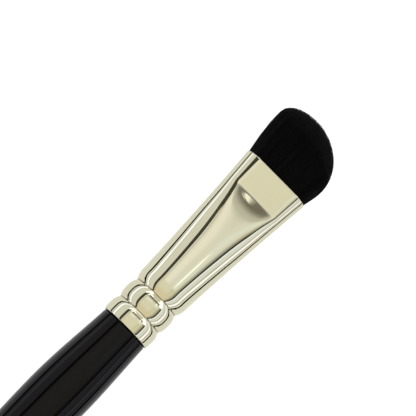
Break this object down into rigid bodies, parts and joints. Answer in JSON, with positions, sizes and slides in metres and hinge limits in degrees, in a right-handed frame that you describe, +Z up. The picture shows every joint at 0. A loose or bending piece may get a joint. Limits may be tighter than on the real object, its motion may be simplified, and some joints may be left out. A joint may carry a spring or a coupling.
{
  "type": "angled blush brush",
  "caption": "Cosmetic brush with a slanted domed hair head, a crimped metal ferrule pressed flat at its mouth, and a turned lacquered handle.",
  "frame": {"origin": "on the ground under the middle of the brush, which lies with its pressed faces up and down", "axes": "+X along the brush towards the hair tips, +Y across the pressed faces towards the long side of the slanted head, +Z up"},
  "size_m": [0.1762, 0.0224, 0.0168],
  "materials": {
    "lacquered_wood": "gloss black lacquer on turned hardwood",
    "handle_glue": "cured adhesive",
    "plated_brass": "bright warm nickel plating on drawn brass tube",
    "root_resin": "cured amber epoxy",
    "thread": "waxed cotton thread",
    "hair": "soft black hair"
  },
  "bodies": {
    "root": {"handle": "lacquered_wood", "handle_glue": "handle_glue", "ferrule": "plated_brass", "root_resin": "root_resin", "binding_thread": "thread", "hair_tuft": "hair"}
  },
  "joints": []
}
